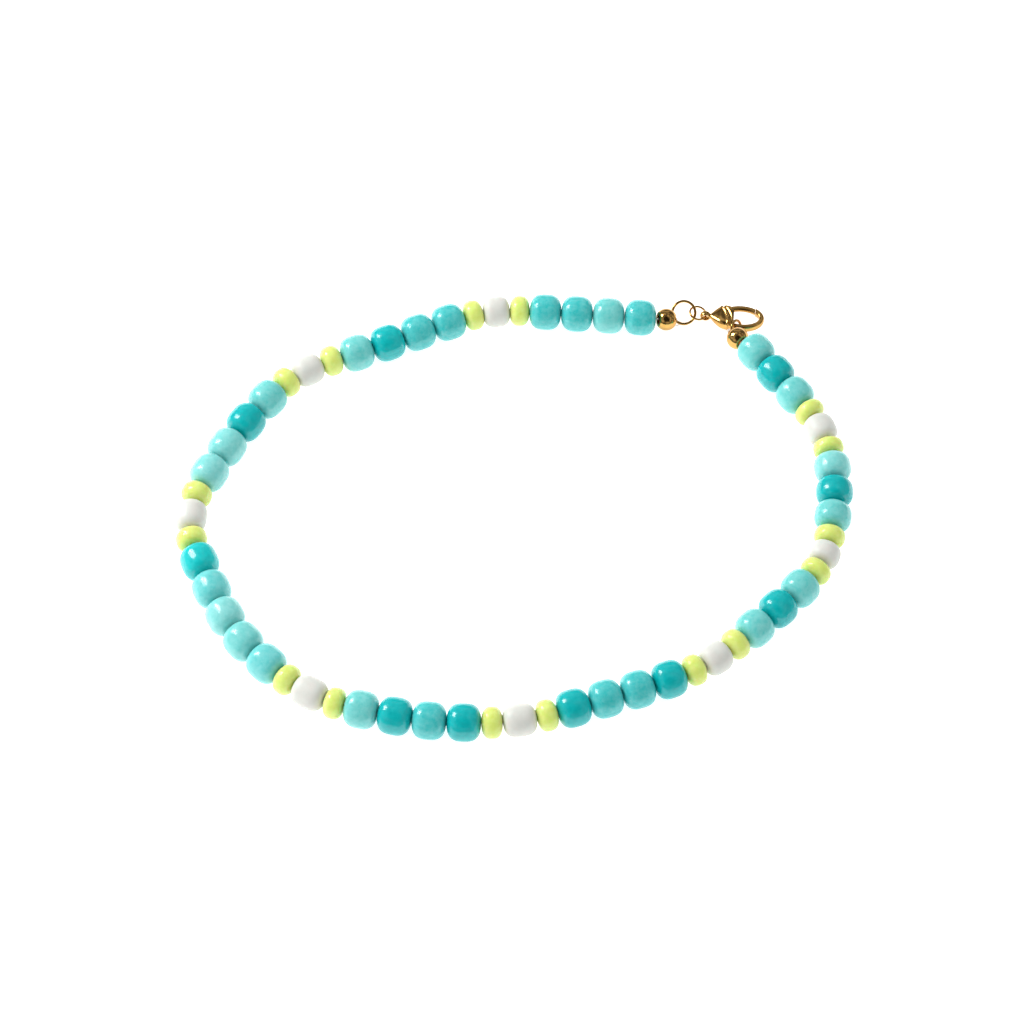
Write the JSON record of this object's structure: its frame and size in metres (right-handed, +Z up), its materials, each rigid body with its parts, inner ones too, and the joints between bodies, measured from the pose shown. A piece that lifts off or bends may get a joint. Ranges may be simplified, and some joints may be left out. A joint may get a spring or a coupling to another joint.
{
  "type": "beaded necklace",
  "caption": "Choker of turquoise, white and lime glass beads on clear thread, closed by a gold lobster clasp.",
  "frame": {"origin": "on the surface that the necklace lies on, below the middle of its box", "axes": "+X along the loop's longer way, clasp on the +X +Y side; +Y away from the viewer; +Z up"},
  "size_m": [0.1458, 0.113, 0.008],
  "materials": {
    "turquoise_light": "polished milky pressed glass",
    "turquoise_middle": "polished milky pressed glass",
    "turquoise_dark": "polished milky pressed glass",
    "spacer_glass": "polished opal glass, lime and white",
    "gold": "gold-plated and polished",
    "thread": "clear drawn nylon line"
  },
  "bodies": {
    "necklace": {"clasp_body": "gold", "end_ring": "gold", "gold_bead_01": "gold", "gold_bead_02": "gold", "jump_ring": "gold", "lever_pin": "gold", "small_ring": "gold", "spacers_01": "spacer_glass", "spacers_02": "spacer_glass", "spacers_03": "spacer_glass", "spacers_04": "spacer_glass", "spacers_05": "spacer_glass", "spacers_06": "spacer_glass", "spacers_07": "spacer_glass", "spacers_08": "spacer_glass", "thread": "thread", "turquoise_01": "turquoise_middle", "turquoise_02": "turquoise_light", "turquoise_03": "turquoise_middle", "turquoise_04": "turquoise_middle", "turquoise_05": "turquoise_middle", "turquoise_06": "turquoise_middle", "turquoise_07": "turquoise_dark", "turquoise_08": "turquoise_light", "turquoise_09": "turquoise_light", "turquoise_10": "turquoise_dark", "turquoise_11": "turquoise_light", "turquoise_12": "turquoise_light", "turquoise_13": "turquoise_dark", "turquoise_14": "turquoise_middle", "turquoise_15": "turquoise_light", "turquoise_16": "turquoise_light", "turquoise_17": "turquoise_middle", "turquoise_18": "turquoise_light", "turquoise_19": "turquoise_dark", "turquoise_20": "turquoise_middle", "turquoise_21": "turquoise_dark", "turquoise_22": "turquoise_dark", "turquoise_23": "turquoise_middle", "turquoise_24": "turquoise_middle", "turquoise_25": "turquoise_dark", "turquoise_26": "turquoise_light", "turquoise_27": "turquoise_dark", "turquoise_28": "turquoise_light", "turquoise_29": "turquoise_light", "turquoise_30": "turquoise_dark", "turquoise_31": "turquoise_light", "turquoise_32": "turquoise_light", "turquoise_33": "turquoise_dark", "turquoise_34": "turquoise_light"},
    "lever": {"clasp_lever": "gold"}
  },
  "joints": [
    {"name": "lever_hinge", "type": "hinge", "parent": "necklace", "child": "lever", "pos_m": [0.04833, 0.05402, 0.00172], "axis": [0, 0, -1], "range_deg": [0, 22], "stiffness_Nm_per_rad": 0.0005, "springref_deg": -28.65}
  ]
}
